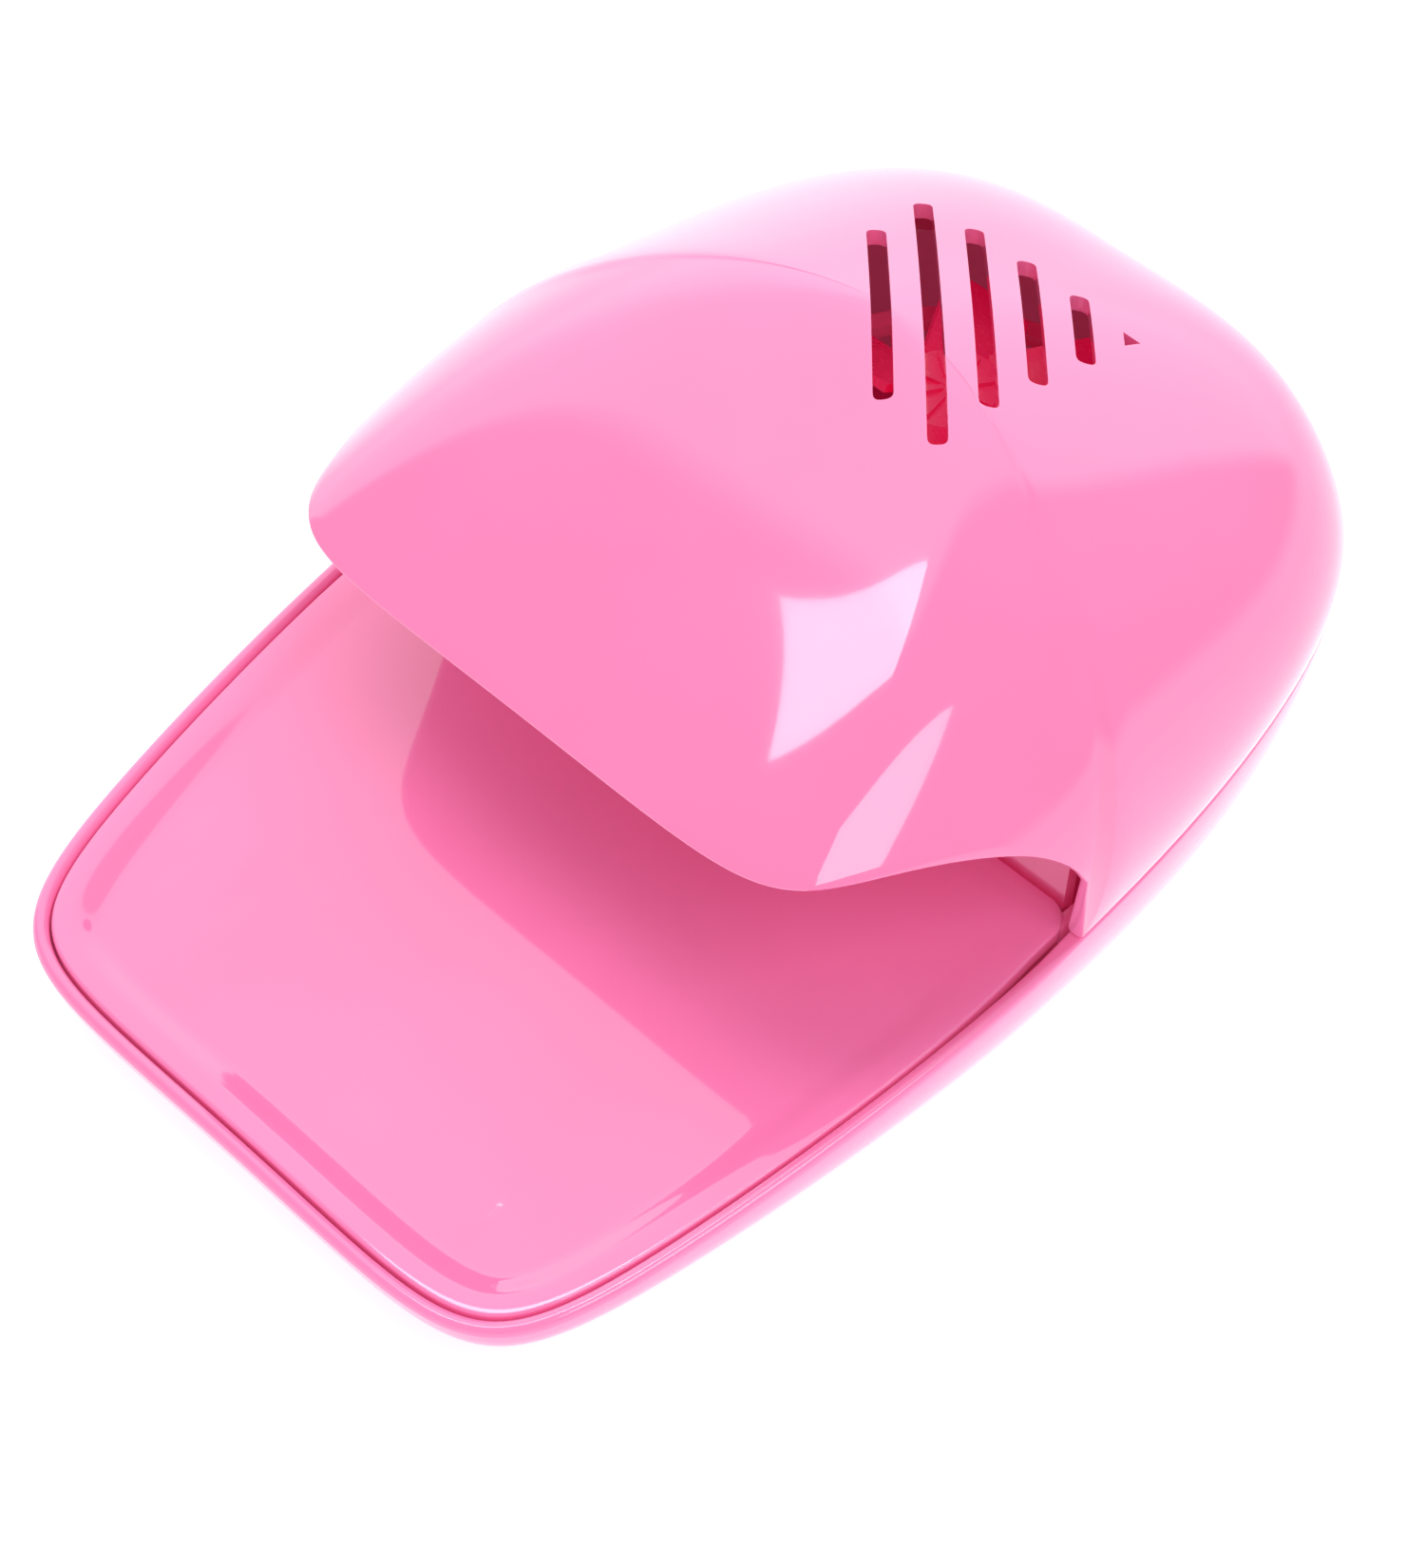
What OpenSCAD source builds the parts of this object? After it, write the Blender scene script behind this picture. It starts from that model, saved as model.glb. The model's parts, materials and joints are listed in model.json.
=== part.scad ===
// Battery-powered nail dryer: a wedge-shaped base with a press tray, under a vented hood that holds a small fan.
// +X is the user's right when the tray faces them, -Y is the tray end, +Z is up. The origin is on the table,
// under the middle of the body.

/* [Body] */
// Overall length, tray end to hood end
body_l = 138; // [124:1:166]
// Overall width at the widest point
body_w = 96; // [88:1:116]
// Height of the base rim at the tray end
rim_front_h = 8.4; // [8.2:0.1:12]
// Rise of the base rim for each millimetre towards the back
rim_slope = 0.142; // [0.12:0.002:0.17]
// Extra rise of the parting line behind the tray
rim_back_rise = 2.5; // [0:0.1:5]
// Wall thickness of the base
base_wall = 1.75; // [1.5:0.05:2.1]
// Thickness of the base floor
floor_t = 2; // [1.6:0.1:2.2]
// How far the base tucks in at its foot
base_tuck = 6; // [4:0.1:7]
// Roundness of the base wall at the tray end
tuck_curve_front = 2.6; // [2.2:0.1:3.5]
// Roundness of the base wall at the hood end
tuck_curve_back = 1.4; // [1.1:0.1:2.5]
// Squareness of the rounded back
back_fullness = 1.04; // [0.8:0.01:1.04]

/* [Hood] */
// Height of the crown control point
crown_h = 63; // [58:0.5:76]
// Wall thickness of the hood
hood_wall = 2; // [1.5:0.1:2.5]
// Distance of the crown's centre in front of the back end
crown_back = 55.7; // [50:0.1:60]
// Height fraction at which the front of the hood is cut away
visor_cut = 0.481; // [0.42:0.005:0.55]
// Distance of the hood's legs behind the tray end
leg_y = 72; // [66:0.5:80]

/* [Vents] */
// Side of the square field of air slots
vent_side = 31; // [26:0.5:33]
// Distance of the vent field's middle from the back end
vent_back = 38.1; // [34:0.1:42]
// Width of an air slot
slot_w = 2.1; // [1.4:0.1:2.6]
// Distance between neighbouring air slots
slot_pitch = 5.25; // [4.6:0.05:7]
// Number of air slots behind the longest one
slots_behind = 4; // [2:1:4]

/* [Tray] */
// Gap between the tray and the base rim
tray_gap = 0.4; // [0.3:0.05:0.6]
// Depth of the tray's dish
dish_depth = 1.8; // [1:0.1:2]
// Thickness of the tray's floor
tray_t = 1.6; // [1.2:0.1:1.8]
// Width of the tray's raised border
border_w = 1.7; // [1.2:0.1:3]
// Radius of the tray's rear corners
tray_corner_r = 3.2; // [2:0.1:4]
// Radius of the tray's pivot pins
pivot_r = 1.2; // [1:0.05:1.5]

/* [Fan and motor] */
// Fan wheel diameter
fan_d = 38; // [31.5:0.5:40]
// Number of fan blades
blades = 6; // [4:1:8]
// Motor can diameter
motor_d = 24.4; // [20:0.1:25]
// Motor can height
motor_h = 12.3; // [10:0.1:13]
// Motor shaft diameter
shaft_d = 2; // [1.5:0.1:2.5]

/* [Power] */
// Battery cell diameter
cell_d = 14.3; // [13.5:0.1:14.5]
// Battery cell length without its tip
cell_l = 49.2; // [44:0.1:50]
// Thickness of the battery door
door_t = 1.6; // [1.2:0.1:1.7]

/* [Hardware] */
// Clearance between a moving pin or shaft and its hole, on the radius
run_fit = 0.05; // [0.03:0.01:0.08]
// Clearance between neighbouring housings
part_gap = 0.3; // [0.25:0.05:0.5]
// Diameter of the housing screws
screw_d = 2.6; // [2:0.1:3.2]
// Height of the rubber feet below the base
foot_h = 1; // [0.8:0.1:1.5]

/* [Hidden] */
pink = [1, 0.55, 0.74];
steel = [0.72, 0.73, 0.75];
brass = [0.8, 0.66, 0.36];

y_front = -body_l / 2;
y_back = body_l / 2;
base_z = foot_h;
floor_z = base_z + floor_t;
// Outline of the body in plan: four points joined by three curves, from the tray end to the back
flare_dir = [0.173, 0.985];
corner_pt = [body_w / 2 - 4.2, y_front + 26.6];
widest_pt = [body_w / 2, 0];
front_curve = [[0, y_front], [corner_pt.x - 8.5, y_front], corner_pt - 30 * flare_dir, corner_pt];
side_curve = [corner_pt, corner_pt + 13.5 * flare_dir, widest_pt - [0, 11.5], widest_pt];
back_curve = [widest_pt, widest_pt + [0, y_back * back_fullness], [26, y_back], [0, y_back]];
curves = [front_curve, side_curve, back_curve];
front_steps = 13;
side_steps = 5;
back_steps = 16;
half_columns = concat([for (i = [0 : front_steps - 1]) [0, i / front_steps]],
    [for (i = [0 : side_steps - 1]) [1, i / side_steps]],
    [for (i = [0 : back_steps]) [2, i / back_steps]]);
tray_columns = concat([for (i = [0 : front_steps - 1]) [0, i / front_steps]],
    [for (i = [0 : side_steps]) [1, i / side_steps]]);

// Crown of the hood
crown_y = y_back - crown_back;
crown_shift = 12.4;
crown_tilt = -0.277;
leg_edge_y = y_front + leg_y;
visor_start_y = y_front + 3.3;
hood_rings = 11;

// Tray and its pivot
tray_inset = base_wall + tray_gap;
tray_drop = 0.3;
tray_back_y = leg_edge_y + 3.6;
// The tray draws in towards its rear corners, which widens the gap there
tray_draw = 0.7;
tray_draw_l = 20;
pivot_y = tray_back_y + 2.6;
pivot_z = rim_z(pivot_y) - 2.4;
// Inside face of the base wall beside the pivots, and the lug that carries each pin
wall_x = widest_pt.x - base_wall;
lug_x = wall_x - 2.5;
lug_t = 1.5;
skirt = dish_depth + tray_t - 0.2;
spring_x = 22;
spring_y = y_front + 34;
spring_r = 3;

// Fan, motor and batteries, from the bottom up
fan_y = vent_y() + 4.1;
cell_pitch = cell_d + 1.3;
cell_z = base_z + door_t + part_gap + cell_d / 2;
bay_half_x = cell_l / 2 + 6;
bay_half_y = cell_pitch / 2 + cell_d / 2 + 1;
bay_wall = 1.5;
bracket_z = cell_z + cell_d / 2 + 0.8;
bracket_t = 2;
motor_z = bracket_z + bracket_t + 1.6;
hub_z = motor_z + motor_h + 1.6;
hub_h = 7;
hub_r = 6;
post_x = bay_half_x + bay_wall + 3.2;
post_r = 2.7;
deck_z = hub_z - 1.5;
door_half_x = bay_half_x - 0.6;
door_front_y = fan_y - bay_half_y;
door_groove = 0.8;

function vent_y() = y_back - vent_back;
function bez(p, t) = pow(1 - t, 3) * p[0] + 3 * pow(1 - t, 2) * t * p[1] + 3 * (1 - t) * t * t * p[2]
    + t * t * t * p[3];
function bez_dir(p, t) = pow(1 - t, 2) * (p[1] - p[0]) + 2 * (1 - t) * t * (p[2] - p[1])
    + t * t * (p[3] - p[2]);
function unit(v) = v / norm(v);
// A point of the plan outline, moved inwards by d
function plan_pt(c, d = 0) = let (dir = unit(bez_dir(curves[c[0]], c[1])))
    bez(curves[c[0]], c[1]) - d * [dir.y, -dir.x];
function rim_z(y) = rim_front_h + rim_slope * (y - y_front)
    + rim_back_rise * pow(max(y - leg_edge_y, 0) / (y_back - leg_edge_y), 2);
function along(y) = (y - y_front) / body_l;
function tuck_curve(y) = tuck_curve_front + (tuck_curve_back - tuck_curve_front) * along(y);
// Inward offset of the base wall at depth fraction v below the rim
function tuck(y, v) = base_tuck * pow(v, tuck_curve(y));
function smooth(t) = let (c = min(max(t, 0), 1)) c * c * (3 - 2 * c);
function swell(h, p, a, b) = (1 + a * h + b * h * h) * sqrt(max(1 - pow(h, p), 0));
// A point of the hood's surface over outline point o, at height fraction h; drop lowers the crown
function hood_pt(o, h, drop = 0) = let (
    back = smooth((o.y - crown_y + 30) / 60),
    ky = swell(h, 1.03, -0.397, -0.32) * (1 - back) + swell(h, 5.09, -0.3, 0.145) * back,
    y = crown_y + (o.y - crown_y) * ky + crown_shift * h * h)
    [o.x * swell(h, 1.87, 0.3, -0.283), y,
     rim_z(o.y) * (1 - h) + (crown_h - drop + crown_tilt * (y - crown_y)) * h];
// Height fraction of the hood's cut edge: the visor in front, down to the rim at the legs
function cut_h(y) = let (t = min(max((leg_edge_y - y) / (leg_edge_y - visor_start_y), 0), 1))
    visor_cut * pow(1 - pow(1 - t, 2.275), 1 / 3.3);

function mirror_half(half) = concat(half,
    [for (i = [len(half) - 2 : -1 : 1]) [-half[i].x, half[i].y, half[i].z]]);

function flip(ring) = [for (i = [len(ring) - 1 : -1 : 0]) ring[i]];

// A closed solid skinned over a stack of rings with equal point counts, capped at both ends
module skin(rings) {
    n = len(rings[0]);
    last = len(rings) - 1;
    polyhedron(
        points = [for (r = rings, p = r) p],
        faces = concat([[for (i = [0 : n - 1]) i]],
            [for (r = [0 : last - 1], i = [0 : n - 1]) each let (a = r * n + i, b = r * n + (i + 1) % n)
                [[a, a + n, b], [b, a + n, b + n]]],
            [[for (i = [n - 1 : -1 : 0]) last * n + i]]));
}

// Ring of the base wall: offset inwards by off and down by fraction v of the wall's height
function base_ring(v, off) = mirror_half([for (c = half_columns)
    let (y = plan_pt(c).y, p = plan_pt(c, tuck(y, v) + off), z = rim_z(y))
    [p.x, p.y, base_z + (z - base_z) * (1 - v)]]);
function base_inner_ring(v) = mirror_half([for (c = half_columns)
    let (y = plan_pt(c).y, p = plan_pt(c, max(base_wall, tuck(y, v) + base_wall * 0.7)), z = rim_z(y))
    [p.x, p.y, base_z + (z - base_z) * (1 - v)]]);
function base_floor_ring(z) = mirror_half([for (c = half_columns)
    let (y = plan_pt(c).y, v = 1 - (z - base_z) / (rim_z(y) - base_z), p = plan_pt(c, tuck(y, v) + base_wall))
    [p.x, p.y, z]]);
function drop_ring(ring, dz) = [for (p = ring) [p.x, p.y, p.z + dz]];

// Plan of the base at height z, moved inwards by off, as a flat outline
function plan_at(z, off) = [for (p = mirror_half([for (c = half_columns)
    let (y = plan_pt(c).y, v = max(1 - (z - base_z) / (rim_z(y) - base_z), 0), p = plan_pt(c, tuck(y, v) + off))
    [p.x, p.y, 0]])) [p.x, p.y]];

module post(x, y, z0, z1, r, hole_r) {
    translate([x, y, z0]) difference() {
        cylinder(h = z1 - z0, r = r, $fn = 40);
        translate([0, 0, (z1 - z0) * 0.25]) cylinder(h = z1 - z0, r = hole_r, $fn = 32);
    }
}

// Housing screws stand a fixed distance inside the outline, at the sides and at the rear corners
boss_columns = [[2, 0.1], [2, 0.28]];
boss_inset = 9.3;
housing_post_r = 3.1;
boss_z = -0.8;
function spot(c, s, d) = let (p = plan_pt(c, d)) [s * p.x, p.y];
screw_spots = [for (c = boss_columns, s = [1, -1]) spot(c, s, boss_inset)];

module base_shell() {
    color(pink) {
        difference() {
            union() {
                base_skin();
                for (s = [-1, 1]) pivot_ear(s);
            }
            for (s = [-1, 1]) pivot_bore(s);
            base_floor_cuts();
        }
        bay();
        for (s = [-1, 1]) {
            post(s * post_x, fan_y, floor_z - 0.2, bracket_z, post_r, 0.8);
            spring_seat(s);
        }
        for (s = screw_spots) screw_tube(s);
        // Rails that locate the switch block
        for (x = [-6.5, 5]) translate([x, switch_y - 3.5, floor_z - 0.2]) cube([1.5, 7, 2.2]);
    }
}

module base_skin() {
    skin([base_ring(1, 0), base_ring(0.82, 0), base_ring(0.64, 0), base_ring(0.46, 0),
        base_ring(0.28, 0), base_ring(0.12, 0), drop_ring(base_ring(0, 0.35), -0.3),
        base_ring(0, 0.9), base_ring(0, base_wall - 0.3), drop_ring(base_ring(0, base_wall), -0.3),
        base_inner_ring(0.3), base_inner_ring(0.5), base_inner_ring(0.62), base_floor_ring(floor_z)]);
}

// Battery bay, open underneath, with the groove its door slides in, and the housing screws' holes
module base_floor_cuts() {
    translate([-bay_half_x, door_front_y, base_z - 1])
        cube([2 * bay_half_x, 2 * bay_half_y, floor_t + 2]);
    translate([-door_half_x - part_gap, door_front_y, base_z - 1])
        cube([2 * (door_half_x + part_gap), body_l, 1 + door_t + part_gap]);
    translate([-door_half_x - door_groove - part_gap, door_front_y, base_z + door_t / 2 - part_gap / 2])
        cube([2 * (door_half_x + door_groove + part_gap), body_l, door_t / 2 + 1.5 * part_gap]);
    for (s = screw_spots)
        translate([s.x, s.y, base_z - 1]) cylinder(h = floor_t + 3, r = screw_head_r + 0.3, $fn = 40);
}

// Ribs around the two cells, and the deck that closes the floor behind them
module bay() {
    x = bay_half_x;
    y = bay_half_y;
    h = cell_z - base_z + 1;
    for (s = [-1, 1]) {
        translate([s > 0 ? x : -x - bay_wall, door_front_y - bay_wall, floor_z - 0.2])
            cube([bay_wall, 2 * y + 2 * bay_wall, h - floor_t]);
    }
    translate([-x - bay_wall, door_front_y - bay_wall, floor_z - 0.2])
        cube([2 * x + 2 * bay_wall, bay_wall, h - floor_t]);
    translate([-x - bay_wall, fan_y + y, base_z + door_t + 1.1 * part_gap])
        cube([2 * x + 2 * bay_wall, bay_wall, h - door_t - part_gap]);
    intersection() {
        translate([-x - bay_wall, fan_y + y, base_z + door_t + 1.1 * part_gap])
            cube([2 * x + 2 * bay_wall, body_l, 1.6]);
        translate([0, 0, base_z]) linear_extrude(height = 8) polygon(plan_at(floor_z, base_wall * 0.5));
    }
}

// An ear inside the side wall, which thickens it around the tray's pin
module pivot_ear(s) {
    translate([s > 0 ? wall_x - ear_t : -wall_x - 0.6, tray_back_y + part_gap, pivot_z - 4])
        cube([ear_t + 0.6, 5, 6]);
}
// The blind bore that the pin turns in
module pivot_bore(s) {
    translate([s * (wall_x - ear_t - 0.5), pivot_y, pivot_z]) rotate([0, s * 90, 0])
        cylinder(h = ear_t + 1.35, r = pivot_r + run_fit, $fn = 48);
}
ear_t = 0.6;

module spring_seat(s) {
    translate([s * spring_x, spring_y, floor_z - 0.2]) cylinder(h = 1.6, r = spring_r - 0.9, $fn = 32);
}

module screw_tube(s) {
    top = rim_z(s.y) + boss_z;
    translate([s.x, s.y, base_z]) difference() {
        cylinder(h = top - base_z, r = housing_post_r, $fn = 40);
        translate([0, 0, -1]) cylinder(h = top, r = screw_d / 2 + 0.2, $fn = 32);
        translate([0, 0, -1]) cylinder(h = 1 + screw_seat, r = screw_head_r + 0.3, $fn = 40);
    }
}
screw_seat = 4;
screw_head_r = 2.2;
screw_grip = 5;

// Rings of the hood run from the crown to the cut edge outside, and back to the crown inside
function hood_ring(i, off, drop) = mirror_half([for (c = half_columns)
    let (o = plan_pt(c, off), e = cut_h(plan_pt(c).y), f = i / hood_rings, h = e + (0.9995 - e) * (1 - f * f))
    hood_pt(o, h, drop) + [0, 0, part_gap * f]]);
module hood_shell() {
    color(pink) resize([0, 0, 0]) union() {
        difference() {
            skin(concat([for (i = [0 : hood_rings]) flip(hood_ring(i, 0, 0))],
                [for (i = [hood_rings : -1 : 0]) flip(hood_ring(i, hood_wall, hood_wall))]));
            vent_slots();
        }
        hood_bosses();
    }
}

// Diagonal slots, cut off by a square whose sides follow the body
module vent_slots() {
    half = vent_side / 2;
    translate([0, vent_y(), 40]) linear_extrude(height = 40) intersection() {
        square([vent_side, vent_side], center = true);
        rotate(45) for (i = [-1 : slots_behind])
            translate([i * slot_pitch, 0]) square([slot_w, 2 * vent_side], center = true);
    }
}

// Bosses that stand on the base's screw tubes, each tied to the hood's wall by a web
module hood_bosses() {
    for (c = boss_columns, s = [1, -1]) {
        p = spot(c, s, boss_inset);
        w = spot(c, s, hood_wall / 2);
        z = rim_z(p.y) + boss_z;
        d = w - p;
        difference() {
            union() {
                translate([p.x, p.y, z]) cylinder(h = screw_grip + 4.5, r = housing_post_r, $fn = 40);
                translate([p.x, p.y, z + 1.6]) rotate(atan2(d.y, d.x)) translate([0, -1, 0]) cube([norm(d), 2, 3.4]);
            }
            translate([p.x, p.y, z - 1]) cylinder(h = screw_grip + 3, r = screw_d / 2 + run_fit, $fn = 48);
        }
    }
}

// Outline of the tray, moved inwards by d from its own edge, with extra where the base wall tucks in
function tray_half(d, dz, follow) = concat(
    [for (c = tray_columns) let (y = plan_pt(c).y,
        v = (tray_drop + skirt + tray_travel) / (rim_z(y) - base_z),
        p = plan_pt(c, tray_inset + d + tray_draw * draw(y) + (follow ? tuck(y, v) : 0)))
        [p.x, p.y, tray_z(p.y) + dz]],
    [for (a = [0 : 30 : 90]) let (
        r = max(tray_corner_r - d, 0.4),
        v = (tray_drop + skirt + tray_travel) / (rim_z(0) - base_z),
        k = follow ? tuck(0, v) : 0,
        x = widest_pt.x - tray_inset - tray_draw - d - k - r + r * cos(a),
        y = tray_back_y - d - r + r * sin(a))
        [x, y, tray_z(y) + dz]],
    [[0, tray_back_y - d, tray_z(tray_back_y - d) + dz]]);
function draw(y) = pow(max(y - widest_pt.y + tray_draw_l, 0) / tray_draw_l, 2);
// The dish is deepest at the tray end and runs out at the back
function dish_z(y) = -dish_depth * (tray_back_y - y) / (tray_back_y - y_front);
function tray_z(y) = rim_front_h + rim_slope * (y - y_front) - tray_drop;
tray_travel = 1.5;

function dished(half, k) = mirror_half([for (p = half) [p.x, p.y, p.z + k * dish_z(p.y)]]);

module press_tray() {
    color(pink) {
        skin([mirror_half(tray_half(0.4, -skirt, true)), mirror_half(tray_half(0, -1.5, false)),
            mirror_half(tray_half(0, -0.3, false)), mirror_half(tray_half(0.4, 0, false)),
            mirror_half(tray_half(border_w, 0, false)), dished(tray_half(border_w + 2, 0, false), 0.7),
            dished(tray_half(border_w + 4, 0, false), 1)]);
        for (s = [-1, 1]) {
            // Lug behind the rear corner, and the pin that turns in the base's ear
            translate([s > 0 ? lug_x : -lug_x - lug_t, tray_back_y - 2, pivot_z - 1.8])
                cube([lug_t, pivot_y - tray_back_y + 3.8, 3]);
            translate([s * (lug_x + lug_t - 0.3), pivot_y, pivot_z]) rotate([0, s * 90, 0])
                cylinder(h = wall_x + 0.6 - lug_x - lug_t + 0.3, r = pivot_r, $fn = 48);
            // Spring locator under the tray
            translate([s * spring_x, spring_y, spring_top - 0.2])
                cylinder(h = tray_z(spring_y) - skirt - spring_top + 0.8, r = spring_r - 0.9, $fn = 32);
        }
        // Post that presses the switch leaf
        translate([0, leaf_push_y, leaf_z + leaf_t + 0.1])
            cylinder(h = tray_z(leaf_push_y) - skirt - leaf_z, r = 1.5, $fn = 32);
    }
}
spring_top = tray_z(spring_y) - skirt - 1.4;

// Sloping grille between the tray and the fan, with a deck around the fan wheel, on two legs
guide_lean = 8;
guide_t = 1.6;
module air_guide() {
    z0 = tray_z(tray_back_y) - 1.2;
    y0 = tray_back_y + part_gap + 0.1;
    rise = deck_z - z0;
    half_w = widest_pt.x - 4.8;
    deck_x = widest_pt.x - 14;
    color(pink) {
        difference() {
            rotate_panel(y0, z0, rise) translate([0, 0, -guide_t]) linear_extrude(height = guide_t)
                polygon([[-half_w, 0], [half_w, 0], [half_w - 4.5, hyp(rise)], [-half_w + 4.5, hyp(rise)]]);
            rotate_panel(y0, z0, rise) for (i = [0 : 3])
                translate([-24, 4 + i * 3.2, -guide_t - 1]) cube([48, 1.8, guide_t + 2]);
        }
        translate([0, 0, deck_z - guide_t]) linear_extrude(height = guide_t) difference() {
            union() {
                translate([-deck_x, y0 + guide_lean - 0.4]) square([2 * deck_x, fan_y - y0 - guide_lean]);
                translate([0, fan_y]) circle(r = fan_d / 2 + 3.2, $fn = 96);
            }
            translate([0, fan_y]) circle(r = fan_d / 2 + 1, $fn = 96);
        }
        for (s = [-1, 1]) translate([s * deck_x, y0 + 5.7, floor_z])
            cylinder(h = z0 + 7.4 - floor_z, r = 1.8, $fn = 40);
    }
}
function hyp(rise) = norm([rise, guide_lean]);
module rotate_panel(y0, z0, rise) {
    translate([0, y0, z0]) rotate([atan2(rise, guide_lean), 0, 0]) children();
}

module fan_wheel() {
    color([0.9, 0.35, 0.5]) translate([0, fan_y, hub_z]) {
        difference() {
            cylinder(h = hub_h, r = hub_r, $fn = 64);
            translate([0, 0, -1]) cylinder(h = hub_h - 0.6, r = shaft_d / 2, $fn = 32);
        }
        for (i = [0 : blades - 1]) rotate(i * 360 / blades) blade();
        for (i = [0 : 7]) rotate(i * 45 + 11) translate([0.8, -0.35, hub_h - 0.2]) cube([hub_r - 1.6, 0.7, 0.7]);
    }
}

// One flat blade, pitched about its own radius
module blade() {
    intersection() {
        translate([hub_r - 0.6, 0, hub_h / 2]) rotate([32, 0, 0])
            translate([0, -5.2, -0.5]) cube([fan_d / 2, 10.4, 1]);
        difference() {
            cylinder(h = hub_h, r = fan_d / 2, $fn = 96);
            translate([0, 0, -1]) cylinder(h = hub_h + 2, r = hub_r - 0.6, $fn = 48);
        }
    }
}

module motor_shaft() {
    color(steel) translate([0, fan_y, motor_z + 1]) cylinder(h = hub_z + hub_h - 3 - motor_z, r = shaft_d / 2, $fn = 32);
}

module motor_can() {
    color(steel) translate([0, fan_y, motor_z]) difference() {
        union() {
            cylinder(h = motor_h, r = motor_d / 2, $fn = 96);
            translate([0, 0, motor_h]) cylinder(h = 0.9, r = 3.1, $fn = 48);
        }
        translate([0, 0, 0.5]) cylinder(h = motor_h + 1, r = shaft_d / 2 + run_fit, $fn = 32);
    }
}

module motor_end_cap() {
    color([0.15, 0.15, 0.17]) translate([0, fan_y, motor_z - 1.5]) difference() {
        cylinder(h = 1.5, r = motor_d / 2 - 1.2, $fn = 96);
        for (s = [-1, 1]) translate([s * 6 - 1, -0.3, -1]) cube([2, 0.6, 4]);
    }
}

module motor_bracket() {
    color(pink) difference() {
        union() {
            translate([-post_x - 2.7, fan_y - 3.4, bracket_z]) cube([2 * post_x + 5.4, 6.8, bracket_t]);
            translate([0, fan_y, bracket_z]) cylinder(h = motor_z - bracket_z + 5, r = motor_d / 2 + 1.8, $fn = 96);
        }
        translate([0, fan_y, bracket_z - 1]) cylinder(h = 20, r = motor_d / 2 - 1, $fn = 96);
        translate([0, fan_y, motor_z]) cylinder(h = 20, r = motor_d / 2 + run_fit, $fn = 96);
        for (s = [-1, 1]) translate([s * post_x, fan_y, bracket_z - 1]) cylinder(h = 6, r = 1.2, $fn = 32);
    }
}

// A pan-head screw, head up; its thread is a plain shank
module screw(len, r, head_r, head_h) {
    difference() {
        union() {
            translate([0, 0, -len]) cylinder(h = len, r = r, $fn = 32);
            cylinder(h = head_h, r = head_r, $fn = 48);
        }
        for (a = [0, 90]) rotate(a) translate([-head_r * 0.6, -0.25, head_h * 0.5]) cube([head_r * 1.2, 0.5, head_h]);
    }
}

module bracket_screws() {
    color(steel) for (s = [-1, 1])
        translate([s * post_x, fan_y, bracket_z + bracket_t]) screw(6, 0.8, 2, 1.2);
}

module housing_screws() {
    color(steel) for (s = screw_spots)
        translate([s.x, s.y, base_z + screw_seat]) mirror([0, 0, 1])
            screw(rim_z(s.y) + screw_grip - base_z - screw_seat, screw_d / 2, screw_head_r, 1.6);
}

// One cell lying along X; tip says which end is positive
module cell(y, tip) {
    translate([0, y, cell_z]) rotate([0, tip * 90, 0]) {
        translate([0, 0, -cell_l / 2]) cylinder(h = cell_l, r = cell_d / 2, $fn = 64);
        translate([0, 0, cell_l / 2]) cylinder(h = 1.1, r = 2.7, $fn = 40);
    }
}
module battery_front() { color([0.25, 0.27, 0.3]) cell(fan_y - cell_pitch / 2, 1); }
module battery_rear() { color([0.25, 0.27, 0.3]) cell(fan_y + cell_pitch / 2, -1); }

// A helical spring along +Z from its lower end, as a swept tube
module coil(r0, r1, h, turns, wire) {
    steps = 14;
    sides = 6;
    n = round(turns * steps);
    rings = [for (i = [0 : n]) let (f = i / n, a = 360 * turns * f, r = r0 + (r1 - r0) * f)
        [for (k = [0 : sides - 1]) let (b = 360 * k / sides, q = r + wire / 2 * cos(b))
            [q * cos(a), q * sin(a), h * f + wire / 2 * sin(b)]]];
    skin([for (ring = rings) [for (k = [sides - 1 : -1 : 0]) ring[k]]]);
}

contact_t = 0.4;
module negative_springs() {
    color(steel) for (s = [-1, 1]) {
        y = fan_y + s * cell_pitch / 2;
        x = s * (bay_half_x - contact_t - 0.1);
        translate([s > 0 ? bay_half_x - contact_t - 0.05 : -bay_half_x + 0.05, y - 5, cell_z - 5]) cube([contact_t, 10, 10]);
        translate([x - s * 0.2, y, cell_z]) rotate([0, -s * 90, 0])
            coil(4.2, 2.6, bay_half_x - cell_l / 2 - contact_t - 0.75, 3.5, 0.7);
    }
}

module positive_contacts() {
    color(brass) translate([-bay_half_x + 0.05, fan_y + cell_pitch / 2 - 4.5, cell_z - 4])
        cube([contact_t, 9, 8]);
    color(brass) translate([bay_half_x - contact_t - 0.05, fan_y - cell_pitch / 2 - 4.5, cell_z - 4])
        cube([contact_t, 9, 8]);
    color(brass) for (s = [-1, 1])
        translate([s > 0 ? cell_l / 2 + 1.2 : -bay_half_x + contact_t, fan_y - s * cell_pitch / 2 - 1.5, cell_z - 1.5])
            cube([bay_half_x - cell_l / 2 - 1.2 - contact_t, 3, 3]);
}

// Strip that joins the two cells in series along one end of the bay
module battery_link() {
    color(brass) translate([bay_half_x - 2 * contact_t - 0.05, fan_y - cell_pitch / 2 + 2, cell_z + 3])
        cube([contact_t, cell_pitch - 6.8, 0.8]);
}

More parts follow.
